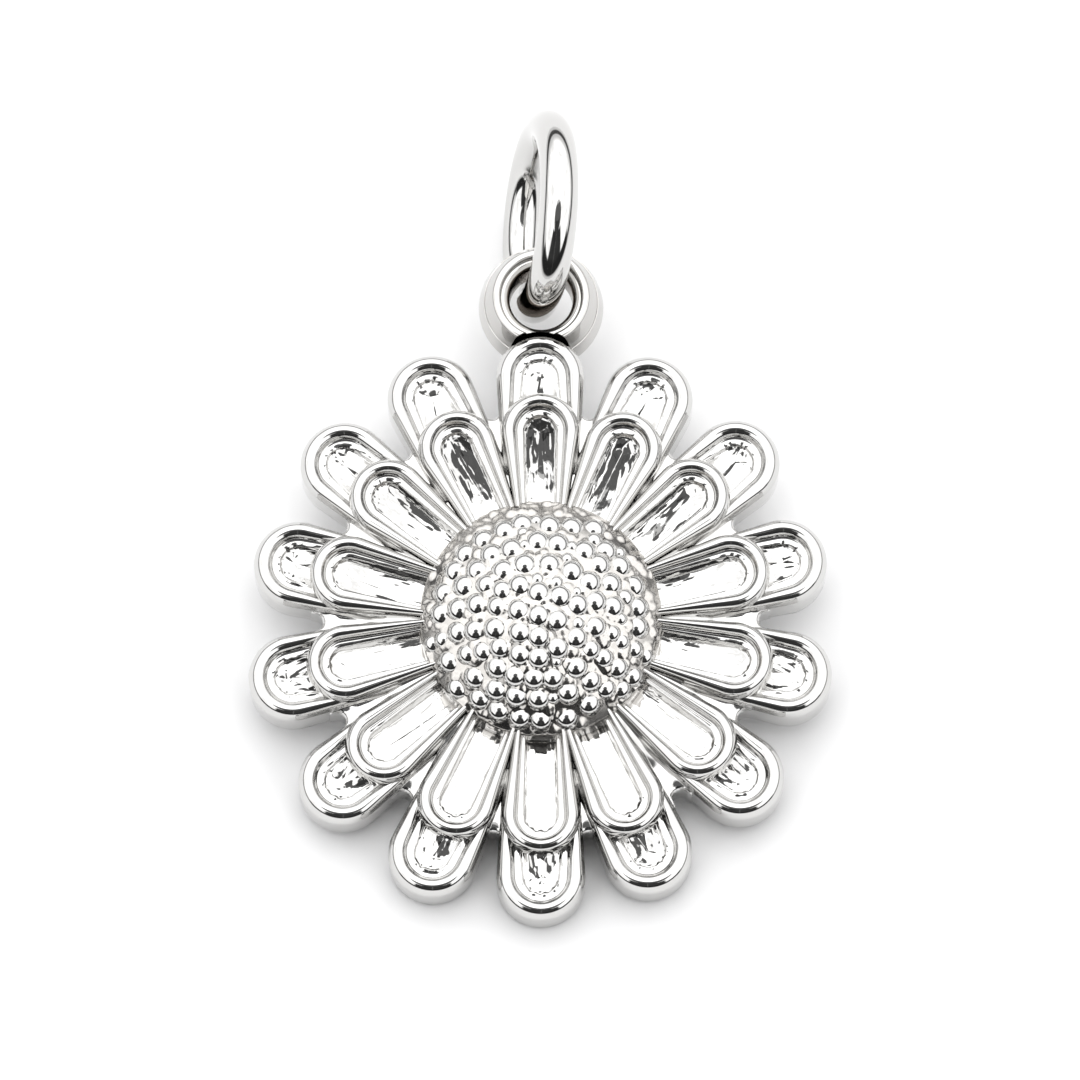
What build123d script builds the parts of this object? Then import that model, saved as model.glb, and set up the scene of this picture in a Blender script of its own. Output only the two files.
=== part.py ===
from build123d import *
import math
import os

os.makedirs("parts", exist_ok=True)

# A cast daisy charm that lies on its back, with a round-wire jump ring through
# its eye. Lengths are in millimetres and angles in degrees. The flower is drawn
# flat, back down on Z = 0 with its eye towards +Y, and is then laid to rest.

# Outer petals
outer_tip = 8.17            # flower centre to the end of the petal
outer_width = 2.42          # width at the round end
outer_root_width = 2.12     # width at the root circle
outer_root = 4.60           # flower centre to the root circle's centre
outer_height = 1.38         # back to the crest of the rim
outer_shoulder = 0.24       # rounding from the side wall to the rim
outer_rim = 0.51            # width of the rim at the end
outer_rim_drop = 0.21       # crest down to the ledge
outer_ledge = 0.21          # width of the ledge at the end
outer_floor_drop = 0.11     # ledge down to the floor
outer_floor_slope = 1.5     # fall of the floor towards the flower's centre, in degrees

# Inner petals, on the same spokes
inner_tip = 6.48
inner_width = 2.15
inner_root_width = 1.42
inner_root = 3.05
inner_height = 1.70
inner_shoulder = 0.20
inner_rim = 0.44
inner_rim_drop = 0.27
inner_ledge = 0.20
inner_floor_drop = 0.16
inner_floor_slope = 9.5     # fall of the floor towards the flower's centre, in degrees

# Rims and ledges narrow towards the flower's centre
rim_root_share = 0.50       # rim width at the root, as a share of the width at the end
rim_inner_edge = 0.09       # rounding of the rim's inner edge

# The spokes are evenly spaced but for a small turn of each, and the petals differ
# in reach. Columns: turn in degrees, outer reach and inner reach as shares.
spoke_table = (
    (0.2, 0.998, 0.989),
    (0.7, 1.002, 0.985),
    (1.7, 1.003, 0.996),
    (1.6, 0.983, 0.991),
    (0.7, 0.990, 0.997),
    (0.1, 0.993, 1.006),
    (-1.2, 1.003, 1.012),
    (0.0, 1.016, 1.010),
    (1.2, 1.015, 1.020),
    (0.9, 1.002, 1.017),
    (0.0, 0.997, 1.008),
    (-1.0, 0.985, 1.000),
    (-1.0, 1.003, 1.002),
    (-0.4, 1.008, 0.993),
)

# Web that joins the outer petals, with a round-ended notch between each two
web_radius = 6.30
web_drop = 0.03             # outer petals' floors down to the web
notch_diameter = 0.50
notch_centre = 6.22         # flower centre to the notch's round end

# Domed centre
dome_foot = 3.30            # radius of the dome's foot
dome_base = 1.56            # height of the foot's edge
dome_rise = 1.32            # foot's edge to the crown

# Beads on the dome. Each is (across, along) in hundredths of the dome's foot radius.
bead_diameter = 0.62        # largest bead, across its foot; one in a tight place is smaller
bead_merge = 0.08           # how far two neighbours' feet may run into each other
bead_slope = 56.0           # slope of a bead's side at its foot, in degrees
# One row for each loose column, from left to right
bead_columns = (
    ((-82, 19), (-85, 1), (-83, -21), (-92, -23)),
    ((-64, 53), (-73, 38), (-65, 23), (-70, 3), (-70, -17), (-62, -36), (-78, -40), (-71, -62)),
    (
        (-49, 65), (-42, 50), (-54, 36), (-46, 22), (-54, 5),
        (-56, -17), (-49, -35), (-56, -55), (-52, -72),
    ),
    (
        (-31, 73), (-25, 54), (-32, 34), (-33, 16), (-37, 2),
        (-39, -17), (-35, -33), (-37, -49), (-38, -66), (-36, -82),
    ),
    (
        (-16, 79), (-14, 39), (-18, 20), (-19, -2), (-18, -21),
        (-18, -39), (-22, -56), (-21, -72), (-18, -88),
    ),
    ((-3, 61), (-2, 13), (-2, -7), (-2, -25), (-2, -42), (-6, -58), (-2, -74), (0, -90)),
    ((7, 77), (14, 59), (7, 39), (16, 10), (14, -11), (14, -34), (10, -58)),
    ((26, 76), (26, 33), (31, 3), (30, -25), (30, -49), (23, -69), (22, -88)),
    ((45, 76), (37, 53), (49, 41), (41, 24), (46, 7), (46, -15), (42, -34), (42, -59), (41, -77)),
    ((55, 55), (67, 42), (59, 24), (61, 4), (60, -19), (53, -40), (65, -47), (55, -64)),
    ((79, 25), (82, 6), (82, -11), (68, -25), (79, -30), (88, -34), (78, -52), (68, -63)),
)
# Small beads that fill what room the columns leave
bead_fillers = (
    (-15, 69), (-14, 57), (-4, 81), (-3, 25), (13, 22), (13, -45), (10, -73), (26, 56),
    (22, 44), (30, 14), (31, -13), (45, 64), (67, -6), (66, 54), (71, 13),
)

# Jump ring
ring_wire = 1.06
ring_outer = 5.93
ring_lean = 12.3            # lean of the standing ring to the right
ring_turn = -0.3            # turn of the ring about the vertical
ring_aside = -0.02          # ring's centre to the right of the eye's middle

# Eye behind the top petal, with a hole that takes the jump ring
eye_foot = 0.06             # flower's back up to the eye's back
eye_hole_play = 0.68        # hole's diameter over the wire's
eye_setback = 0.10          # end of the top petal to the hole
eye_wall = 0.93             # hole to the outer flank at the back
eye_height = 1.64
eye_belt = 0.95             # flower's back up to the belt, where the flank leans in more
eye_belt_draft = 0.22       # draft of the flank up to the belt
eye_crest_width = 0.22      # flat crest between the flank and the lip
eye_lip_width = 0.24        # sunk lip around the hole
eye_lip_drop = 0.20         # crest down to the lip
eye_crest_rounding = 0.12
eye_lip_rounding = 0.08
eye_mouth_rounding = 0.20
eye_back_rounding = 0.30

# How the ring stands in the hole and carries the eye
ring_near_gap = 0.36        # ring to the hole's near side at half height
ring_clearance = 0.05       # ring to the eye where it carries it
steepest_tilt = 15.0        # limit of the search for the tilt at rest, in degrees


def tapered_slot(root_centre, root_radius, tip_centre, tip_radius):
    """Face of two circles on the Y axis and the tangents that join them."""
    slant = math.asin((tip_radius - root_radius) / (tip_centre - root_centre))
    across = math.cos(slant)
    down = math.sin(slant)
    root_right = (root_radius * across, root_centre - root_radius * down)
    root_left = (-root_radius * across, root_centre - root_radius * down)
    tip_right = (tip_radius * across, tip_centre - tip_radius * down)
    tip_left = (-tip_radius * across, tip_centre - tip_radius * down)
    outline = [
        Line(root_right, tip_right),
        ThreePointArc(tip_right, (0, tip_centre + tip_radius), tip_left),
        Line(tip_left, root_left),
        ThreePointArc(root_left, (0, root_centre - root_radius), root_right),
    ]
    return make_face(Wire(outline))


def petal_slab(tip, width, root, root_width, inset, low, high):
    """Upright block on a petal's outline, set inwards at the tip and by less at the root."""
    outline = tapered_slot(
        root,
        root_width / 2 - inset * rim_root_share,
        tip - width / 2,
        width / 2 - inset,
    )
    return Pos(0, 0, low) * extrude(outline, high - low)


def petal(
    tip, width, root, root_width, foot, height,
    shoulder, rim, rim_drop, ledge, floor_drop, floor_slope,
):
    """One petal with a raised rim, a ledge inside it and a sunk floor that slopes."""
    def slab(inset, low, high):
        return petal_slab(tip, width, root, root_width, inset, low, high)

    body = slab(0, foot, height)
    body = fillet(body.edges().group_by(Axis.Z)[-1], shoulder)
    body -= slab(rim, height - rim_drop, height + rim_drop)
    crest = body.faces().filter_by(Axis.Z).sort_by(Axis.Z)[-1]
    body = fillet(crest.inner_wires()[0].edges(), min(rim_inner_edge, rim_drop / 2))
    hollow = slab(rim + ledge, foot, height)
    floor = Plane(Pos(0, tip - rim - ledge, height - rim_drop - floor_drop) * Rot(floor_slope, 0, 0))
    return body - split(hollow, floor, keep=Keep.TOP)


# Outer row, and inner row sunk halfway into the web. The outer petals' roots and the
# web are cut away where they would stand up through the inner petals' floors.
web_height = outer_height - outer_rim_drop - outer_floor_drop - web_drop
inner_foot = web_height / 2
outer_row = []
inner_row = []
notches = []
hollows = []
for index, (turn, outer_reach, inner_reach) in enumerate(spoke_table):
    spoke = Rot(0, 0, -index * 360 / len(spoke_table) + turn)
    outer = petal(
        outer_tip * outer_reach, outer_width, outer_root, outer_root_width, 0, outer_height,
        outer_shoulder, outer_rim, outer_rim_drop, outer_ledge, outer_floor_drop, outer_floor_slope,
    )
    inner = petal(
        inner_tip * inner_reach, inner_width, inner_root, inner_root_width, inner_foot, inner_height,
        inner_shoulder, inner_rim, inner_rim_drop, inner_ledge, inner_floor_drop, inner_floor_slope,
    )
    covered = petal_slab(
        inner_tip * inner_reach, inner_width, inner_root, inner_root_width, inner_rim / 2,
        inner_foot, outer_height + inner_height,
    )
    outer_row.append(spoke * (outer - covered))
    inner_row.append(spoke * inner)
    hollows.append(spoke * covered)
    next_turn = spoke_table[(index + 1) % len(spoke_table)][0]
    notch_angle = -(index + 0.5) * 360 / len(spoke_table) + (turn + next_turn) / 2
    notch = Circle(notch_diameter / 2) + Pos(0, web_radius / 2) * Rectangle(notch_diameter, web_radius)
    notches.append(Rot(0, 0, notch_angle) * Pos(0, notch_centre, 0) * extrude(notch, web_height))
web = extrude(Circle(web_radius), web_height).cut(*notches, *hollows)

# Dome: a cap on a short drum
dome_radius = (dome_foot**2 + dome_rise**2) / (2 * dome_rise)
dome_centre = dome_base + dome_rise - dome_radius
half_rise = math.asin(dome_foot / dome_radius) / 2
dome_section = [
    Line((0, inner_foot), (dome_foot, inner_foot)),
    Line((dome_foot, inner_foot), (dome_foot, dome_base)),
    ThreePointArc(
        (dome_foot, dome_base),
        (dome_radius * math.sin(half_rise), dome_centre + dome_radius * math.cos(half_rise)),
        (0, dome_base + dome_rise),
    ),
    Line((0, dome_base + dome_rise), (0, inner_foot)),
]
dome = revolve(Plane.XZ * make_face(Wire(dome_section)), Axis.Z)

def on_dome(across, along):
    """Point on the dome's surface."""
    x = dome_foot * across / 100
    y = dome_foot * along / 100
    return Vector(x, y, dome_centre + math.sqrt(dome_radius**2 - x**2 - y**2))


def bead_ball(place, foot):
    """Ball sunk into the dome, which shows as a round bead of this foot radius."""
    outwards = (place - Vector(0, 0, dome_centre)).normalized()
    sunk = foot / math.tan(math.radians(bead_slope))
    return Pos(place - outwards * sunk) * Sphere(foot / math.sin(math.radians(bead_slope)))


# Beads: first the columns, each bead as large as its nearest neighbour lets it be,
# then the small ones in the room that is left
places = [on_dome(*bead) for column in bead_columns for bead in column]
beads = []
for place in places:
    nearest = min((place - other).length for other in places if other is not place)
    beads.append((place, min(bead_diameter, nearest + bead_merge) / 2))
for bead in bead_fillers:
    place = on_dome(*bead)
    room = min((place - other).length - radius for other, radius in beads) + bead_merge
    beads.append((place, min(bead_diameter / 2, room)))
dome = dome.fuse(*[bead_ball(place, foot) for place, foot in beads])

# Eye: a turned ring with a leaning flank and a sunk lip, trimmed by the top petal
eye_hole = ring_wire + eye_hole_play
eye_bore = eye_hole / 2
eye_lip = eye_bore + eye_lip_width
eye_radius = eye_bore + eye_wall
eye_centre = outer_tip * spoke_table[0][1] + eye_setback + eye_bore
eye_profile = make_face(
    Polyline(
        (eye_bore, eye_foot),
        (eye_radius, eye_foot),
        (eye_radius - eye_belt_draft, eye_belt),
        (eye_lip + eye_crest_width, eye_height),
        (eye_lip, eye_height),
        (eye_lip, eye_height - eye_lip_drop),
        (eye_bore, eye_height - eye_lip_drop),
        close=True,
    )
)
levels = eye_profile.vertices().group_by(Axis.Y)
lip_edge, crest_edge = levels[-1].sort_by(Axis.X)
mouth_edge = levels[-2].sort_by(Axis.X)[0]
eye_profile = fillet(levels[0], eye_back_rounding)
for corner, rounding in (
    (crest_edge, eye_crest_rounding),
    (lip_edge, eye_lip_rounding),
    (mouth_edge, eye_mouth_rounding),
):
    same_corner = eye_profile.vertices().sort_by_distance(corner.center())[0]
    eye_profile = fillet(same_corner, rounding)
eye = Pos(0, eye_centre, 0) * revolve(Plane.XZ * eye_profile, Axis.Z)
eye -= Rot(0, 0, spoke_table[0][0]) * petal_slab(
    outer_tip * spoke_table[0][1], outer_width, outer_root, outer_root_width, 0, 0, eye_height * 2,
)

flower = dome.fuse(web, *outer_row, *inner_row, eye)

# Rest pose: the ring stands on the table through the hole and carries the eye,
# and the flower leans down from there to the end of its bottom petal
ring_radius = (ring_outer - ring_wire) / 2
ring_height = ring_radius * math.cos(math.radians(ring_lean)) + ring_wire / 2
ring_turned = Rot(0, 0, ring_turn) * Rot(0, ring_lean, 0)
bottom_tip = outer_tip * spoke_table[len(spoke_table) // 2][1]


def ring_place(tilt):
    """Y of the ring's centre, just inside the hole of a flower at this tilt."""
    near_side = (eye_centre - eye_bore) * math.cos(tilt) - eye_height / 2 * math.sin(tilt)
    return near_side + ring_near_gap + ring_outer / 2


def ring_gap(tilt):
    """Gap between the wire and the eye, measured in the eye's section."""
    table_to_eye = (
        Pos(0, -eye_centre, 0)
        * Rot(-math.degrees(tilt), 0, 0)
        * Pos(0, 0, -bottom_tip * math.sin(tilt))
        * Pos(ring_aside, ring_place(tilt), ring_height)
        * ring_turned
    )
    gaps = []
    for step in range(120):
        angle = step * math.tau / 120
        point = Pos(0, ring_radius * math.cos(angle), ring_radius * math.sin(angle))
        x, y, z = (table_to_eye * point).position
        gaps.append(eye_profile.distance_to(Vertex(math.hypot(x, y), z, 0)))
    return min(gaps) - ring_wire / 2


# The least tilt, in steps, at which the ring clears the eye
tilt_steps = 150
for tilt_step in range(tilt_steps + 1):
    rest_tilt = math.radians(steepest_tilt * tilt_step / tilt_steps)
    if ring_gap(rest_tilt) >= ring_clearance:
        break
ring_y = ring_place(rest_tilt)
cos_tilt = math.cos(rest_tilt)
sin_tilt = math.sin(rest_tilt)
flower_lift = bottom_tip * sin_tilt

# Length of the whole object along Y, for an origin below its middle
ring_normal_y = math.cos(math.radians(ring_lean)) * math.sin(math.radians(ring_turn))
ring_end = ring_y + ring_radius * math.sqrt(1 - ring_normal_y**2) + ring_wire / 2
shoulder_y = bottom_tip - outer_shoulder
shoulder_z = outer_height - outer_shoulder
flower_end = -(shoulder_y * cos_tilt + shoulder_z * sin_tilt + outer_shoulder)
middle = (ring_end + flower_end) / 2

flower = Pos(0, -middle, flower_lift) * Rot(math.degrees(rest_tilt), 0, 0) * flower
ring = Rot(0, 90, 0) * Torus(ring_radius, ring_wire / 2)
ring = Pos(ring_aside, ring_y - middle, ring_height) * ring_turned * ring

export_step(flower, "parts/flower_casting.step")
export_step(ring, "parts/jump_ring.step")
print("tilt at rest", round(math.degrees(rest_tilt), 3), "degrees")
print("flower centre", 0, round(-middle, 4), round(flower_lift, 4))
print("ring centre", ring_aside, round(ring_y - middle, 4), round(ring_height, 4))
print("gap between ring and eye", round(flower.distance_to(ring), 4))
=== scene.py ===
import math

import bmesh
import bpy
from mathutils import Matrix, Vector, noise


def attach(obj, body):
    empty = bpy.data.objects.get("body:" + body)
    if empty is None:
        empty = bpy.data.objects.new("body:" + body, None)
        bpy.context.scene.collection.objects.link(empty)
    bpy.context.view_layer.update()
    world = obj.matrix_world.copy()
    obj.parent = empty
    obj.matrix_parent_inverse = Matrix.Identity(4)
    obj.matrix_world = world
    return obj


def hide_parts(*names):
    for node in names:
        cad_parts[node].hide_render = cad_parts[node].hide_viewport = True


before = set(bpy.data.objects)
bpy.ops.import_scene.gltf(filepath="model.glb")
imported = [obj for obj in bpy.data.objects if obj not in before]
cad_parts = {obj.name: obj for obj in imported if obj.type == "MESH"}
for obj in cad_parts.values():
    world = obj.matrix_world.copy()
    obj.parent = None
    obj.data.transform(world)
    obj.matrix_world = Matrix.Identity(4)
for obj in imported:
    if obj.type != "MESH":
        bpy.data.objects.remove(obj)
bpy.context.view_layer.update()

# Sizes are in millimetres, in the flower's own frame as in the part's source: its back is
# at height 0, its centre at the origin and its eye towards +Y
MM = 0.001

# How the flower lies: it leans down from the ring to its bottom petal
TILT = math.radians(5.8)
FLOWER_Y, FLOWER_Z = -3.0219, 0.8388
LAY = (
    Matrix.Translation((0, FLOWER_Y * MM, FLOWER_Z * MM))
    @ Matrix.Rotation(TILT, 4, "X")
    @ Matrix.Scale(MM, 4)
)

# The two rows of petals. The root is the middle of the rounded inner end, and the ledge
# inside the rim ends at the inset "ledge"
OUTER = dict(tip=8.17, width=2.42, root_width=2.12, root=4.60, ledge=0.69)
INNER = dict(tip=6.48, width=2.15, root_width=1.42, root=3.05, ledge=0.605)
RIM_ROOT_SHARE = 0.50               # how much of an inset is left at the root
ROOT_LEAST = 0.03                   # least radius there
OUTER_SEEDS, INNER_SEEDS = 1, 31    # first seed of each row's waves
# Spokes clockwise from the top: turn in degrees, reach of the outer and the inner petal
SPOKES = (
    (0.2, 0.998, 0.989),
    (0.7, 1.002, 0.985),
    (1.7, 1.003, 0.996),
    (1.6, 0.983, 0.991),
    (0.7, 0.990, 0.997),
    (0.1, 0.993, 1.006),
    (-1.2, 1.003, 1.012),
    (0.0, 1.016, 1.010),
    (1.2, 1.015, 1.020),
    (0.9, 1.002, 1.017),
    (0.0, 0.997, 1.008),
    (-1.0, 0.985, 1.000),
    (-1.0, 1.003, 1.002),
    (-0.4, 1.008, 0.993),
)
SPOKE_STEP = 360 / len(SPOKES)

# Rim profiles, as (inset, height) from the back over the rim to the floor's edge
OUTER_PROFILE = (
    (0.05, 0.00), (0.015, 0.015), (0.00, 0.05), (0.00, 0.35), (0.00, 0.70), (0.00, 1.04),
    (0.005, 1.09), (0.02, 1.125), (0.035, 1.16), (0.055, 1.215), (0.085, 1.27), (0.125, 1.32),
    (0.175, 1.357), (0.23, 1.377), (0.285, 1.380), (0.34, 1.366), (0.39, 1.335), (0.435, 1.29),
    (0.47, 1.235), (0.49, 1.195), (0.505, 1.176), (0.525, 1.168), (0.58, 1.165), (0.65, 1.162),
    (0.695, 1.158), (0.712, 1.145), (0.722, 1.11), (0.730, 1.075), (0.745, 1.060),
)
INNER_PROFILE = (
    (0.00, 0.515), (0.00, 0.90), (0.00, 1.20), (0.00, 1.40),
    (0.004, 1.445), (0.016, 1.475), (0.030, 1.51), (0.050, 1.56), (0.078, 1.61), (0.115, 1.65),
    (0.160, 1.682), (0.205, 1.698), (0.250, 1.700), (0.295, 1.687), (0.335, 1.655), (0.372, 1.61),
    (0.402, 1.55), (0.420, 1.49), (0.433, 1.448), (0.450, 1.433), (0.50, 1.430), (0.57, 1.428),
    (0.612, 1.424), (0.628, 1.410), (0.637, 1.36), (0.645, 1.31), (0.660, 1.285),
)

# Floors: inset and height of their edge, fall towards the centre, dish and size of waves
OUTER_FLOOR = dict(inset=0.745, height=1.060, fall=0.04, dish=0.02, waves=0.070)
INNER_FLOOR = dict(inset=0.660, height=1.285, fall=0.35, dish=0.015, waves=0.042)
FLOOR_ROWS, FLOOR_MIDDLE = 12, 0.02   # rows of faces up to its middle, and half width left there
FLOOR_LEVELS_OUT = 2.5              # run over which the fall comes to an end
WAVES_GROW = 2.5                    # the waves are full at 1 / 2.5 of the way to the middle
RUN_UP, RUN_UP_REACH = 0.12, 0.60   # rise of an outer floor at the inner petal's foot
COVERED_TOP, COVERED_INSET = 0.60, 0.22   # an outer petal is cut to this under an inner one

# The worked metal: broad waves, facets, fine waves and cracks
WAVES_ACROSS, WAVES_ALONG = 1.25, 0.95
SEED_STEP = (7.1, -3.3, 1.7)        # shift of the waves from one seed to the next
FACET_SCALE, FACET_SHARE, FACET_MOST = 1.3, 0.9, 0.35
FINE_SCALE, FINE_SHARE, FINE_SHIFT = 3.3, 0.22, Vector((4.2, 1.3, 0))
CRACK_SCALE, CRACK_SHARE, CRACK_WIDTH, CRACK_SHIFT = 3.1, 0.26, 0.16, Vector((0.7, 2.1, 0))
NICK_SCALE, NICK_ACROSS, NICK_HEIGHT = 8.0, 0.07, 0.09    # the ragged step to the floor
RIM_SCALE, RIM_WAVES = 1.6, 0.004                         # the hand-finished rim

# The web, whose edge runs in round a notch between two petals
WEB_RADIUS, WEB_HEIGHT, NOTCH_CENTRE, NOTCH = 6.30, 1.03, 6.22, 0.50
WEB_STEPS, WEB_LUMPS, WEB_LUMP_SCALE = 1120, 0.012, 1.8
WEB_HIDDEN_TOP = 0.5                # under the inner petals
# Its rim, as (inset, height), and its top, as (radius, height), between the inner petals
WEB_RIM = (
    (0.06, 0.0), (0.01, 0.02), (0.0, 0.06), (0.0, 0.5), (0.0, WEB_HEIGHT - 0.20),
    (0.01, WEB_HEIGHT - 0.13), (0.04, WEB_HEIGHT - 0.07), (0.09, WEB_HEIGHT - 0.02),
    (0.15, WEB_HEIGHT), (0.5, WEB_HEIGHT),
)
WEB_TOP = (
    (5.20, WEB_HEIGHT), (4.90, WEB_HEIGHT + 0.04), (4.55, WEB_HEIGHT + 0.12),
    (4.20, WEB_HEIGHT + 0.20), (3.85, WEB_HEIGHT + 0.27), (3.55, WEB_HEIGHT + 0.32),
    (3.25, WEB_HEIGHT + 0.35),
)

# The dome, with small grains between its beads
DOME_FOOT, DOME_BASE, DOME_RISE = 3.30, 1.56, 1.32
DOME_SKIRT = ((0.001, 0.6), (DOME_FOOT, 0.6), (DOME_FOOT, 1.2), (DOME_FOOT, DOME_BASE - 0.06),
              (DOME_FOOT - 0.01, DOME_BASE - 0.02))
DOME_ROWS, DOME_STEPS = 70, 420
GRAIN, GRAIN_HEIGHT = 0.34, 0.075   # size of a grain's cell, and how far it rises
GRAIN_EDGE = 0.62                   # where the grain ends, as a share of that size
DOME_RADIUS = (DOME_FOOT**2 + DOME_RISE**2) / (2 * DOME_RISE)
DOME_CENTRE = DOME_BASE + DOME_RISE - DOME_RADIUS

# The beads, as (across, along) in hundredths of the dome's foot radius
BEAD, BEAD_MERGE, BEAD_SLOPE = 0.62, 0.08, math.radians(56.0)
BALL_SEGMENTS, BALL_RINGS = 26, 18
BEAD_COLUMNS = (
    ((-82, 19), (-85, 1), (-83, -21), (-92, -23)),
    ((-64, 53), (-73, 38), (-65, 23), (-70, 3), (-70, -17), (-62, -36), (-78, -40), (-71, -62)),
    ((-49, 65), (-42, 50), (-54, 36), (-46, 22), (-54, 5), (-56, -17), (-49, -35), (-56, -55),
     (-52, -72)),
    ((-31, 73), (-25, 54), (-32, 34), (-33, 16), (-37, 2), (-39, -17), (-35, -33), (-37, -49),
     (-38, -66), (-36, -82)),
    ((-16, 79), (-14, 39), (-18, 20), (-19, -2), (-18, -21), (-18, -39), (-22, -56), (-21, -72),
     (-18, -88)),
    ((-3, 61), (-2, 13), (-2, -7), (-2, -25), (-2, -42), (-6, -58), (-2, -74), (0, -90)),
    ((7, 77), (14, 59), (7, 39), (16, 10), (14, -11), (14, -34), (10, -58)),
    ((26, 76), (26, 33), (31, 3), (30, -25), (30, -49), (23, -69), (22, -88)),
    ((45, 76), (37, 53), (49, 41), (41, 24), (46, 7), (46, -15), (42, -34), (42, -59), (41, -77)),
    ((55, 55), (67, 42), (59, 24), (61, 4), (60, -19), (53, -40), (65, -47), (55, -64)),
    ((79, 25), (82, 6), (82, -11), (68, -25), (79, -30), (88, -34), (78, -52), (68, -63)),
)
BEAD_FILLERS = (
    (-15, 69), (-14, 57), (-4, 81), (-3, 25), (13, 22), (13, -45), (10, -73), (26, 56),
    (22, 44), (30, 14), (31, -13), (45, 64), (67, -6), (66, 54), (71, 13),
)

# The eye, turned about its hole, with a fine line at its flank's belt
EYE_Y, EYE_HOLE, EYE_WALL, EYE_HEIGHT = 9.1237, 1.74, 0.93, 1.64
EYE_BELT, EYE_BELT_DRAFT, EYE_CREST = 0.95, 0.22, 0.22
EYE_LIP, EYE_LIP_DROP, EYE_FOOT = 0.24, 0.20, 0.06
BELT_LINE_IN, BELT_LINE_UP = 0.022, 0.008
BORE_SHADE_EDGE, BORE_SHADE_TOP_GAP = 0.12, 0.04    # how far the painted shade inside the bore reaches
EYE_STEPS = 180
SHARP = math.radians(50)            # an edge that turns more than this stays crisp

# The jump ring, in the frame of the object at rest
RING_CENTRE = (-0.02, 8.4316, 2.9091)
RING_WIRE, RING_OUTER, RING_LEAN, RING_TURN = 1.06, 5.93, 12.3, -0.3
RING_STEPS, WIRE_STEPS = 200, 36

# The studio: a white tent over white paper, with a lamp above. The tent is dim at its foot,
# and its cloth's light starts and is full at these elevations, in degrees
TENT_DIM, TENT_CLOTH, TENT_FOLDS = 0.88, 0.52, 0.45
CLOTH_STARTS, CLOTH_FULL = 15, 25
FOLD_LOW, FOLD_HIGH = 0.36, 0.56    # stretch of the noise that makes the folds
DARKEST = 0.97
PAPER = (0.93, 0.93, 0.933, 1)
LAMP_WATTS, LAMP_SIZE, LAMP_PLACE = 0.40, 0.45, (-0.03, 0.16, 0.44)

# The photo: its side in pixels, its scale, and where the flower's centre is in it
PHOTO_SIDE, PIXELS_PER_MM, DISTANCE = 1080, 36.5, 300.0
FLOWER_PIXEL = (541.0, 632.5)
OFF_VERTICAL = math.radians(14.0) + TILT
TOWARDS_CAMERA = Vector((0, -math.sin(OFF_VERTICAL), math.cos(OFF_VERTICAL)))


# Mesh helpers
# A shape is its points in millimetres, its faces and a material number for each face
def new_piece(name, shape, materials, place=LAY):
    """A mesh object from a shape, laid to rest with the flower."""
    points, faces, kinds = shape
    mesh = bpy.data.meshes.new(name)
    mesh.from_pydata([place @ Vector(p) for p in points], [], faces)
    for material in materials:
        mesh.materials.append(material)
    mesh.polygons.foreach_set("material_index", kinds)
    mesh.polygons.foreach_set("use_smooth", [True] * len(mesh.polygons))
    mesh.update()
    obj = bpy.data.objects.new(name, mesh)
    bpy.context.scene.collection.objects.link(obj)
    return obj


def face_outwards(piece):
    """Turn the piece's normals outwards."""
    mesh = bmesh.new()
    mesh.from_mesh(piece.data)
    bmesh.ops.recalc_face_normals(mesh, faces=mesh.faces)
    mesh.to_mesh(piece.data)
    mesh.free()


def turned(points, degrees):
    """Points turned about the vertical axis through the flower's centre."""
    a = math.radians(degrees)
    c, s = math.cos(a), math.sin(a)
    return [(x * c - y * s, x * s + y * c, z) for x, y, z in points]


def join(parts):
    """One shape from several."""
    points, faces, kinds = [], [], []
    for part_points, part_faces, part_kinds in parts:
        base = len(points)
        points += part_points
        faces += [tuple(i + base for i in face) for face in part_faces]
        kinds += part_kinds
    return points, faces, kinds


def strips(turns, rows, wrap):
    """Faces of a grid of points that closes round its turns, and over its rows too if asked."""
    faces = []
    for i in range(turns):
        k = (i + 1) % turns
        for j in range(rows if wrap else rows - 1):
            m = (j + 1) % rows
            faces.append((i * rows + j, i * rows + m, k * rows + m, k * rows + j))
    return faces


def lathe(profile, steps, centre=(0, 0)):
    """Points and faces of a closed profile of (radius, height), turned about a vertical axis."""
    points = []
    for i in range(steps):
        a = math.tau * i / steps
        for r, z in profile:
            points.append((centre[0] + r * math.cos(a), centre[1] + r * math.sin(a), z))
    return points, strips(steps, len(profile), wrap=True)


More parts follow.
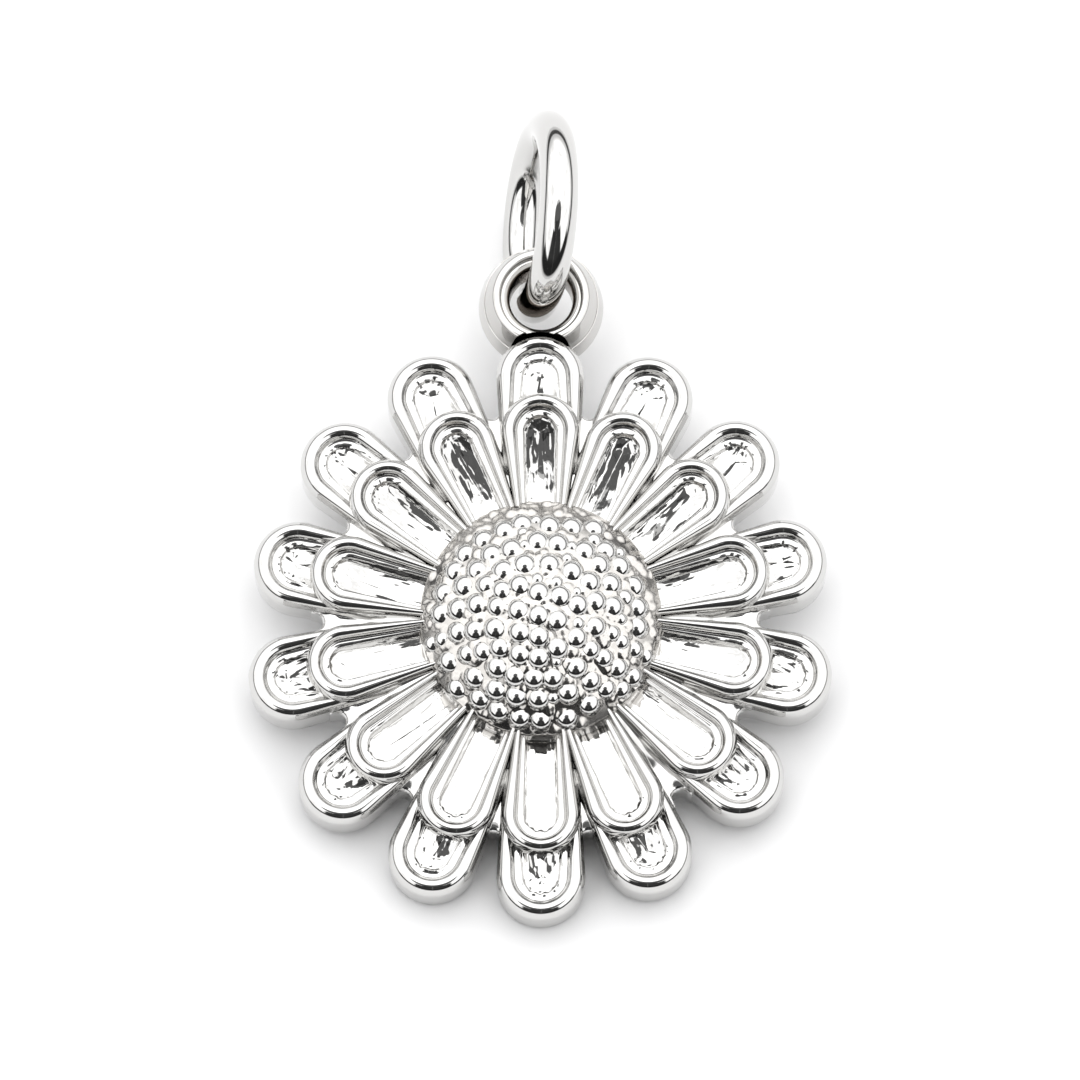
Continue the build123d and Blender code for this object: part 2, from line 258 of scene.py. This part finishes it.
# Materials
def polished(name, roughness, grain, pits, tint=(0.64, 0.635, 0.625, 1)):
    """Polished silver: slight waves, a fine grain in the gloss and a few pits."""
    material = bpy.data.materials.new(name)
    material.use_nodes = True
    tree = material.node_tree
    shader = tree.nodes["Principled BSDF"]
    shader.inputs["Metallic"].default_value = 1.0
    shader.inputs["Base Color"].default_value = tint
    coords = tree.nodes.new("ShaderNodeTexCoord")
    gloss = tree.nodes.new("ShaderNodeTexNoise")
    gloss.inputs["Scale"].default_value = 900.0
    gloss.inputs["Detail"].default_value = 3.0
    tree.links.new(coords.outputs["Object"], gloss.inputs["Vector"])
    spread = tree.nodes.new("ShaderNodeMapRange")
    spread.inputs["From Min"].default_value = 0.35
    spread.inputs["From Max"].default_value = 0.7
    spread.inputs["To Min"].default_value = roughness * 0.7
    spread.inputs["To Max"].default_value = roughness * 1.5
    tree.links.new(gloss.outputs["Fac"], spread.inputs["Value"])
    tree.links.new(spread.outputs["Result"], shader.inputs["Roughness"])
    dents = tree.nodes.new("ShaderNodeTexNoise")
    dents.inputs["Scale"].default_value = grain
    dents.inputs["Detail"].default_value = 2.0
    tree.links.new(coords.outputs["Object"], dents.inputs["Vector"])
    bump = tree.nodes.new("ShaderNodeBump")
    bump.inputs["Strength"].default_value = 1.0
    bump.inputs["Distance"].default_value = pits
    tree.links.new(dents.outputs["Fac"], bump.inputs["Height"])
    tree.links.new(bump.outputs["Normal"], shader.inputs["Normal"])
    return material


rim_metal = polished("silver_polished", 0.05, 1100.0, 0.000003)
floor_metal = polished("silver_worked", 0.05, 2200.0, 0.000010)
# the dome's darker, browner tint is painted shade between the beads; its roughness is the ground finish
dome_shaded_metal = polished("silver_ground_painted_shade", 0.17, 2600.0, 0.000008, (0.60, 0.58, 0.555, 1))
# the eye's darker tint is painted shade: it dims the flank as if it reflected shaded paper
eye_shaded_metal = polished("silver_turned_painted_shade", 0.07, 1100.0, 0.000003, (0.56, 0.55, 0.535, 1))
# the bore's dark brown tint is painted shade, where the hole lies in shadow
bore_shade_metal = polished("silver_painted_bore_shade", 0.16, 1500.0, 0.000008, (0.22, 0.19, 0.165, 1))
bead_metal = polished("silver_beads", 0.05, 900.0, 0.000003)
ring_metal = polished("silver_wire", 0.06, 700.0, 0.000006)


# Petals
def slot_outline(root_y, root_r, tip_y, tip_r, side=22, arc=40, back=8):
    """Points round a slot that tapers from its tip, at the larger y, to its root."""
    slant = math.asin(max(-1, min(1, (tip_r - root_r) / (tip_y - root_y))))
    points = []
    for i in range(side):
        t = i / side
        y = root_y + (tip_y - root_y) * t
        r = root_r + (tip_r - root_r) * t
        points.append((r * math.cos(slant), y - r * math.sin(slant)))
    for i in range(arc + 1):
        a = -slant + (math.pi + 2 * slant) * i / arc
        points.append((tip_r * math.cos(a), tip_y + tip_r * math.sin(a)))
    for i in range(side):
        t = 1 - (i + 1) / side
        y = root_y + (tip_y - root_y) * t
        r = root_r + (tip_r - root_r) * t
        points.append((-r * math.cos(slant), y - r * math.sin(slant)))
    for i in range(1, back):
        a = math.pi + slant + (math.pi - 2 * slant) * i / back
        points.append((root_r * math.cos(a), root_y + root_r * math.sin(a)))
    return points


def waves(x, y, seed, size):
    """Height of a poured and lightly worked surface: broad waves with facets and cracks."""
    shift = [seed * step for step in SEED_STEP]
    place = Vector((x * WAVES_ACROSS + shift[0], y * WAVES_ALONG + shift[1], shift[2]))
    broad = noise.noise(place)
    cell = noise.voronoi(place * FACET_SCALE)[0]
    facet = min(cell[1] - cell[0], FACET_MOST)
    fine = noise.noise(place * FINE_SCALE + FINE_SHIFT)
    edge = noise.voronoi(place * CRACK_SCALE + CRACK_SHIFT)[0]
    crack = max(0.0, 1 - (edge[1] - edge[0]) / CRACK_WIDTH)
    return size * (broad + FACET_SHARE * facet + FINE_SHARE * fine - CRACK_SHARE * crack)


def under_rise(x, y, inner_tip):
    """How far an outer floor runs up to the foot of the inner petal that stands on it."""
    radius = INNER["width"] / 2
    away = math.hypot(x, max(y - (inner_tip - radius), 0)) - radius
    return RUN_UP * max(0.0, 1 - max(away, 0.0) / RUN_UP_REACH) ** 2


def under_inner(x, y, inner_tip):
    """Whether a point lies under the middle of the inner petal on the same spoke."""
    tip_r = INNER["width"] / 2
    tip_y = inner_tip - tip_r
    root_r = INNER["root_width"] / 2
    share = (y - INNER["root"]) / (tip_y - INNER["root"])
    if share > 1:
        return math.hypot(x, y - tip_y) < tip_r - COVERED_INSET
    share = max(share, -0.5)
    inset = COVERED_INSET * (RIM_ROOT_SHARE + (1 - RIM_ROOT_SHARE) * max(share, 0))
    return abs(x) < root_r + (tip_r - root_r) * share - inset


def petal(size, tip, profile, floor, seed, inner_tip=None):
    """Shape of one petal on the +Y spoke, with 1 for the faces of its floor.

    An inner tip is given for an outer petal, which is cut down and runs up under it.
    """
    tip_r = size["width"] / 2
    tip_y = tip - tip_r
    root_r = size["root_width"] / 2
    points, rows = [], []

    def fallen(y):
        """Drop of the floor: steepest below the tip, level at the root."""
        run = tip - floor["inset"] - y
        if run < 0:
            return -floor["fall"] * run
        run = min(run, FLOOR_LEVELS_OUT)
        return -floor["fall"] * run * (1 - run / (2 * FLOOR_LEVELS_OUT))

    def rim_point(x, y, inset, height):
        rise = noise.noise(Vector((x * RIM_SCALE + seed, y * RIM_SCALE, inset * 4 + seed)))
        return x, y, height + RIM_WAVES * rise

    def step_point(x, y, inset, height):
        """A point of the worn step from the ledge down to the floor."""
        reach = (inset - size["ledge"]) / (floor["inset"] - size["ledge"])
        nick = noise.noise(Vector((x * NICK_SCALE + seed, y * NICK_SCALE, seed * 2.3)))
        return x * (1 + nick * NICK_ACROSS), y, height + fallen(y) * reach + nick * NICK_HEIGHT

    def floor_point(x, y, share):
        grown = min(1.0, share * WAVES_GROW)
        height = floor["height"] + fallen(y) - floor["dish"] * (1 - (1 - share) ** 2)
        height += grown * waves(x, y, seed, floor["waves"])
        if inner_tip:
            height += grown * under_rise(x, y, inner_tip)
        return x, y, height

    def add_row(inset, point):
        root_inset = inset * RIM_ROOT_SHARE
        outline = slot_outline(size["root"], max(root_r - root_inset, ROOT_LEAST), tip_y, tip_r - inset)
        row = []
        for corner in outline:
            x, y, height = point(*corner)
            if inner_tip and under_inner(x, y, inner_tip):
                height = min(height, COVERED_TOP)
            row.append(len(points))
            points.append((x, y, height))
        rows.append(row)

    for inset, height in profile:
        kind_of_point = step_point if inset > size["ledge"] else rim_point
        add_row(inset, lambda x, y: kind_of_point(x, y, inset, height))
    rim_rows = len(rows)
    floor_width = tip_r - FLOOR_MIDDLE - floor["inset"]
    for i in range(1, FLOOR_ROWS + 1):
        share = i / FLOOR_ROWS
        add_row(floor["inset"] + floor_width * share, lambda x, y: floor_point(x, y, share))

    faces, kinds = [], []
    for number, (row, next_row) in enumerate(zip(rows, rows[1:])):
        for i in range(len(row)):
            j = (i + 1) % len(row)
            faces.append((row[i], row[j], next_row[j], next_row[i]))
            kinds.append(0 if number < rim_rows - 1 else 1)
    faces += [tuple(reversed(rows[0])), tuple(rows[-1])]
    kinds += [0, 1]
    return points, faces, kinds


def petal_rows():
    """Shapes of the outer and the inner row."""
    outer, inner = [], []
    for index, (turn, outer_reach, inner_reach) in enumerate(SPOKES):
        spoke = turn - index * SPOKE_STEP
        inner_tip = INNER["tip"] * inner_reach
        points, faces, kinds = petal(
            OUTER, OUTER["tip"] * outer_reach, OUTER_PROFILE, OUTER_FLOOR, OUTER_SEEDS + index, inner_tip)
        outer.append((turned(points, spoke), faces, kinds))
        points, faces, kinds = petal(INNER, inner_tip, INNER_PROFILE, INNER_FLOOR, INNER_SEEDS + index)
        inner.append((turned(points, spoke), faces, kinds))
    return join(outer), join(inner)


outer_row, inner_row = petal_rows()
outer_petals = new_piece("outer_petals", outer_row, [rim_metal, floor_metal])
inner_petals = new_piece("inner_petals", inner_row, [rim_metal, floor_metal])


# Web
def web_edge(angle):
    """Radius of the web's edge, which runs in round the end of each notch."""
    for index, (turn, _, _) in enumerate(SPOKES):
        next_turn = SPOKES[(index + 1) % len(SPOKES)][0]
        notch = math.radians(90 - (index + 0.5) * SPOKE_STEP + (turn + next_turn) / 2)
        off = (angle - notch + math.pi) % math.tau - math.pi
        across = abs(WEB_RADIUS * math.sin(off))
        if abs(off) < 0.2 and across < NOTCH / 2:
            return NOTCH_CENTRE - math.sqrt((NOTCH / 2) ** 2 - across**2)
    return WEB_RADIUS


def under_any_inner(x, y):
    """Whether a point lies under the middle of any inner petal."""
    for index, (turn, _, reach) in enumerate(SPOKES):
        across, along, _ = turned([(x, y, 0)], index * SPOKE_STEP - turn)[0]
        if along > 2 and under_inner(across, along, INNER["tip"] * reach):
            return True
    return False


def web_lump(x, y):
    """Slight unevenness of the cast web."""
    return WEB_LUMPS * noise.noise(Vector((x * WEB_LUMP_SCALE, y * WEB_LUMP_SCALE, 3.0)))


def web_shape():
    """Shape of the web, open at its inner edge inside the dome."""
    points = []
    for i in range(WEB_STEPS):
        a = math.tau * i / WEB_STEPS
        edge = web_edge(a)
        for inset, height in WEB_RIM:
            x, y = (edge - inset) * math.cos(a), (edge - inset) * math.sin(a)
            points.append((x, y, height + (web_lump(x, y) if inset > 0.1 else 0)))
        for radius, height in WEB_TOP:
            x, y = radius * math.cos(a), radius * math.sin(a)
            if under_any_inner(x, y):
                height = WEB_HIDDEN_TOP
            points.append((x, y, height + web_lump(x, y)))
    rows = len(WEB_RIM) + len(WEB_TOP)
    faces = strips(WEB_STEPS, rows, wrap=False)
    faces.append(tuple(i * rows for i in range(WEB_STEPS)))
    return points, faces, [0] * len(faces)


web = new_piece("web", web_shape(), [rim_metal])


# Dome and beads
def grained(x, y, z):
    """A point of the dome, raised in the small grains that lie between the beads."""
    if z <= DOME_BASE or math.hypot(x, y) < 0.01:
        return x, y, z
    cell = noise.voronoi(Vector((x, y, 0)) / GRAIN)[0]
    rise = GRAIN_HEIGHT * max(0.0, 1 - (cell[0] / GRAIN_EDGE) ** 2)
    outwards = Vector((x, y, z - DOME_CENTRE)).normalized()
    return tuple(Vector((x, y, z)) + outwards * rise)


def dome_shape():
    arc = math.asin(DOME_FOOT / DOME_RADIUS)
    profile = list(DOME_SKIRT)
    for i in range(DOME_ROWS + 1):
        a = arc * (1 - i / DOME_ROWS)
        profile.append((max(DOME_RADIUS * math.sin(a), 0.001), DOME_CENTRE + DOME_RADIUS * math.cos(a)))
    points, faces = lathe(profile, DOME_STEPS)
    return [grained(*point) for point in points], faces, [0] * len(faces)


def ball(centre, radius):
    """Shape of a round ball."""
    x, y, z = centre
    points = [(x, y, z + radius)]
    for i in range(1, BALL_RINGS):
        b = math.pi * i / BALL_RINGS
        out = radius * math.sin(b)
        for j in range(BALL_SEGMENTS):
            a = math.tau * j / BALL_SEGMENTS
            points.append((x + out * math.cos(a), y + out * math.sin(a), z + radius * math.cos(b)))
    points.append((x, y, z - radius))
    faces = []
    for j in range(BALL_SEGMENTS):
        k = (j + 1) % BALL_SEGMENTS
        faces.append((0, 1 + j, 1 + k))
        for i in range(BALL_RINGS - 2):
            a, b = 1 + i * BALL_SEGMENTS, 1 + (i + 1) * BALL_SEGMENTS
            faces.append((a + j, b + j, b + k, a + k))
        a = 1 + (BALL_RINGS - 2) * BALL_SEGMENTS
        faces.append((a + j, len(points) - 1, a + k))
    return points, faces, [0] * len(faces)


def on_dome(across, along):
    """The point of the dome that a bead is charted at."""
    x, y = DOME_FOOT * across / 100, DOME_FOOT * along / 100
    return Vector((x, y, DOME_CENTRE + math.sqrt(DOME_RADIUS**2 - x**2 - y**2)))


def bead_ball(place, foot):
    """Ball sunk into the dome, which shows as a round bead of this foot radius."""
    outwards = (place - Vector((0, 0, DOME_CENTRE))).normalized()
    return ball(place - outwards * foot / math.tan(BEAD_SLOPE), foot / math.sin(BEAD_SLOPE))


def all_beads():
    """The charted beads, smaller where they crowd, and fillers in the room between them."""
    places = [on_dome(*bead) for column in BEAD_COLUMNS for bead in column]
    beads = []
    for place in places:
        nearest = min((place - other).length for other in places if other is not place)
        beads.append((place, min(BEAD, nearest + BEAD_MERGE) / 2))
    for filler in BEAD_FILLERS:
        place = on_dome(*filler)
        room = min((place - other).length - foot for other, foot in beads) + BEAD_MERGE
        beads.append((place, min(BEAD / 2, room)))
    return join([bead_ball(place, foot) for place, foot in beads])


dome = new_piece("dome", dome_shape(), [dome_shaded_metal])
beads = new_piece("beads", all_beads(), [bead_metal])


# Eye
def rounded(corners, steps=7):
    """Profile with its corners rounded. Each corner is (radius, height, rounding)."""
    out = []
    for i, (r, z, rounding) in enumerate(corners):
        if rounding == 0:
            out.append((r, z))
            continue
        here = Vector((r, z))
        a = (Vector(corners[i - 1][:2]) - here).normalized()
        b = (Vector(corners[(i + 1) % len(corners)][:2]) - here).normalized()
        half = a.angle(b) / 2
        reach = rounding / math.tan(half)
        middle = here + (a + b).normalized() * (rounding / math.sin(half))
        u, v = here + a * reach - middle, here + b * reach - middle
        angle = u.angle(v)
        for s in range(steps + 1):
            t = s / steps
            w = (math.sin((1 - t) * angle) * u + math.sin(t * angle) * v) / math.sin(angle)
            out.append(tuple(middle + w))
    return out


def eye_shape():
    """Shape of the eye, with 1 for the faces of its bore, which are painted dark as shade."""
    bore = EYE_HOLE / 2
    flank = bore + EYE_WALL
    belt = flank - EYE_BELT_DRAFT
    lip_top = EYE_HEIGHT - EYE_LIP_DROP
    profile = rounded((
        (bore, EYE_FOOT, 0.30), (flank, EYE_FOOT, 0.30), (belt, EYE_BELT, 0),
        (belt - BELT_LINE_IN, EYE_BELT + BELT_LINE_UP, 0),
        (bore + EYE_LIP + EYE_CREST, EYE_HEIGHT, 0.12), (bore + EYE_LIP, EYE_HEIGHT, 0.08),
        (bore + EYE_LIP, lip_top, 0.03), (bore, lip_top, 0.20),
    ))
    kinds = []
    for start, end in zip(profile, profile[1:] + profile[:1]):
        r, z = (start[0] + end[0]) / 2, (start[1] + end[1]) / 2
        # faces deep in the bore take the painted shade
        kinds.append(1 if r < bore + BORE_SHADE_EDGE and z < lip_top - BORE_SHADE_TOP_GAP else 0)
    points, faces = lathe(profile, EYE_STEPS, (0, EYE_Y))
    return points, faces, kinds * EYE_STEPS


def top_petal_block():
    """A block with the top petal's outline, which reaches past the eye above and below."""
    turn, reach, _ = SPOKES[0]
    outline = slot_outline(OUTER["root"], OUTER["root_width"] / 2,
                           OUTER["tip"] * reach - OUTER["width"] / 2, OUTER["width"] / 2)
    n = len(outline)
    points = turned([(x, y, -1) for x, y in outline] + [(x, y, 3) for x, y in outline], turn)
    faces = [(i, (i + 1) % n, n + (i + 1) % n, n + i) for i in range(n)]
    faces += [tuple(reversed(range(n))), tuple(range(n, 2 * n))]
    return new_piece("trim", (points, faces, [0] * len(faces)), [])


def cut_from(piece, block):
    """Cut a block out of a piece and delete the block."""
    face_outwards(piece)
    face_outwards(block)
    cut = piece.modifiers.new("cut", "BOOLEAN")
    cut.operation = "DIFFERENCE"
    cut.solver = "EXACT"
    cut.object = block
    bpy.context.view_layer.update()
    left = piece.evaluated_get(bpy.context.evaluated_depsgraph_get())
    mesh = bpy.data.meshes.new_from_object(left)
    piece.modifiers.clear()
    piece.data = mesh
    bpy.data.objects.remove(block)


eye = new_piece("eye", eye_shape(), [eye_shaded_metal, bore_shade_metal])
cut_from(eye, top_petal_block())
eye.data.set_sharp_from_angle(angle=SHARP)


# Jump ring
def ring_shape():
    stand = (
        Matrix.Translation(RING_CENTRE)
        @ Matrix.Rotation(math.radians(RING_TURN), 4, "Z")
        @ Matrix.Rotation(math.radians(RING_LEAN), 4, "Y")
    )
    wire = RING_WIRE / 2
    middle = RING_OUTER / 2 - wire
    points = []
    for i in range(RING_STEPS):
        a = math.tau * i / RING_STEPS
        for j in range(WIRE_STEPS):
            b = math.tau * j / WIRE_STEPS
            r = middle + wire * math.cos(b)
            points.append(tuple(stand @ Vector((wire * math.sin(b), r * math.cos(a), r * math.sin(a)))))
    faces = strips(RING_STEPS, WIRE_STEPS, wrap=True)
    return points, faces, [0] * len(faces)


ring = new_piece("ring_wire", ring_shape(), [ring_metal], place=Matrix.Scale(MM, 4))

for piece in (outer_petals, inner_petals, web, dome, beads, eye):
    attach(piece, "root")
    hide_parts("flower_casting")
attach(ring, "root")
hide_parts("jump_ring")

for piece in (outer_petals, inner_petals, web, dome, beads, eye, ring):
    face_outwards(piece)


# Floor and light
def paper_floor():
    bpy.ops.mesh.primitive_plane_add(size=1.2, location=(0, 0, -0.00002))
    plane = bpy.context.object
    plane.name = "floor"
    paper = bpy.data.materials.new("white_paper")
    paper.use_nodes = True
    shader = paper.node_tree.nodes["Principled BSDF"]
    shader.inputs["Base Color"].default_value = PAPER
    shader.inputs["Roughness"].default_value = 0.9
    plane.data.materials.append(paper)
    return plane


floor = paper_floor()

world = bpy.data.worlds.new("tent")
bpy.context.scene.world = world
world.use_nodes = True
tree = world.node_tree
coords = tree.nodes.new("ShaderNodeTexCoord")
axes = tree.nodes.new("ShaderNodeSeparateXYZ")
tree.links.new(coords.outputs["Generated"], axes.inputs["Vector"])
X, Y, Z = axes.outputs


def maths(operation, a, b=None):
    """Output of a maths node, from numbers or from other nodes' outputs."""
    node = tree.nodes.new("ShaderNodeMath")
    node.operation = operation
    for socket, value in zip(node.inputs, (a, b)):
        if isinstance(value, (int, float)):
            socket.default_value = value
        elif value is not None:
            tree.links.new(value, socket)
    return node.outputs[0]


def smooth(value, low, high):
    """0 up to the low value and 1 from the high one, with a smooth step between."""
    node = tree.nodes.new("ShaderNodeMapRange")
    node.interpolation_type = "SMOOTHSTEP"
    node.inputs["From Min"].default_value = low
    node.inputs["From Max"].default_value = high
    tree.links.new(value, node.inputs["Value"])
    return node.outputs["Result"]


def band(value, low, high, soft):
    """1 between low and high, 0 outside."""
    rise = smooth(value, low - soft, low + soft)
    return maths("MULTIPLY", rise, maths("SUBTRACT", 1.0, smooth(value, high - soft, high + soft)))


degrees = 180 / math.pi
elevation = maths("MULTIPLY", maths("ARCSINE", Z), degrees)
azimuth = maths("MULTIPLY", maths("ARCTAN2", X, maths("MULTIPLY", Y, -1.0)), degrees)
off_front = maths("ABSOLUTE", azimuth)


def opening(half_width, side_soft, bottom, top, soft):
    """1 in a patch in front, in degrees: its half width, and its bottom and top elevation."""
    return maths("MULTIPLY", band(off_front, -1, half_width, side_soft), band(elevation, bottom, top, soft))


def tent_wall():
    """Light of the tent: dimmer at its foot, with soft folds in the cloth above."""
    folds = tree.nodes.new("ShaderNodeTexNoise")
    folds.inputs["Scale"].default_value = 4.0
    folds.inputs["Detail"].default_value = 3.0
    folds.inputs["Roughness"].default_value = 0.6
    tree.links.new(coords.outputs["Generated"], folds.inputs["Vector"])
    folded = smooth(folds.outputs["Fac"], FOLD_LOW, FOLD_HIGH)
    cloth = maths("ADD", TENT_CLOTH, maths("MULTIPLY", folded, TENT_FOLDS))
    return maths("ADD", TENT_DIM, maths("MULTIPLY", smooth(elevation, CLOTH_STARTS, CLOTH_FULL), cloth))


def lens_disc(inner, outer):
    """1 within the inner angle of the camera's direction, 0 past the outer one, in degrees."""
    aim = maths("ADD", maths("MULTIPLY", Y, TOWARDS_CAMERA.y), maths("MULTIPLY", Z, TOWARDS_CAMERA.z))
    return smooth(aim, math.cos(math.radians(outer)), math.cos(math.radians(inner)))


dark_parts = (
    # gap round the tent's foot, open front, its wider lower part, camera stand and lens
    maths("MULTIPLY", band(elevation, low=4.5, high=12, soft=1.0), 0.93),
    opening(half_width=34, side_soft=3.0, bottom=3, top=54, soft=2.0),
    opening(half_width=66, side_soft=4.0, bottom=3, top=20, soft=2.0),
    opening(half_width=20, side_soft=2.0, bottom=3, top=66, soft=1.5),
    maths("MULTIPLY", lens_disc(inner=17.0, outer=18.5), 0.94),
)
dark = dark_parts[0]
for part in dark_parts[1:]:
    dark = maths("MAXIMUM", dark, part)
light = maths("MULTIPLY", tent_wall(), maths("SUBTRACT", 1.0, maths("MULTIPLY", dark, DARKEST)))
tree.links.new(light, tree.nodes["Background"].inputs["Strength"])
tree.nodes["Background"].inputs["Color"].default_value = (1.0, 1.0, 1.0, 1)

lamp = bpy.data.lights.new("soft_top", "AREA")
lamp.energy = LAMP_WATTS
lamp.size = LAMP_SIZE
lamp_object = bpy.data.objects.new("soft_top", lamp)
lamp_object.location = LAMP_PLACE
bpy.context.scene.collection.objects.link(lamp_object)
lamp_object.rotation_euler = (-Vector(LAMP_PLACE)).to_track_quat("-Z", "Y").to_euler()


# Camera
def photo_camera():
    """Camera at the photo's angle, with the flower's centre on its pixel."""
    flower = Vector((0, FLOWER_Y, FLOWER_Z))
    up = Vector((0, math.cos(OFF_VERTICAL), math.sin(OFF_VERTICAL)))
    place = flower + TOWARDS_CAMERA * DISTANCE
    target = flower + up * (FLOWER_PIXEL[1] - PHOTO_SIDE / 2) / PIXELS_PER_MM
    target -= Vector((1, 0, 0)) * (FLOWER_PIXEL[0] - PHOTO_SIDE / 2) / PIXELS_PER_MM
    data = bpy.data.cameras.new("camera")
    data.sensor_width = 36.0
    data.lens = PIXELS_PER_MM * DISTANCE / PHOTO_SIDE * data.sensor_width
    data.clip_start = 0.01
    data.clip_end = 10.0
    camera = bpy.data.objects.new("camera", data)
    bpy.context.scene.collection.objects.link(camera)
    camera.location = place * MM
    camera.rotation_euler = (target - place).to_track_quat("-Z", "Y").to_euler()
    return camera


bpy.context.scene.camera = photo_camera()
bpy.context.scene.view_settings.view_transform = "Standard"
bpy.context.scene.view_settings.look = "None"
bpy.context.scene.view_settings.exposure = 0.0
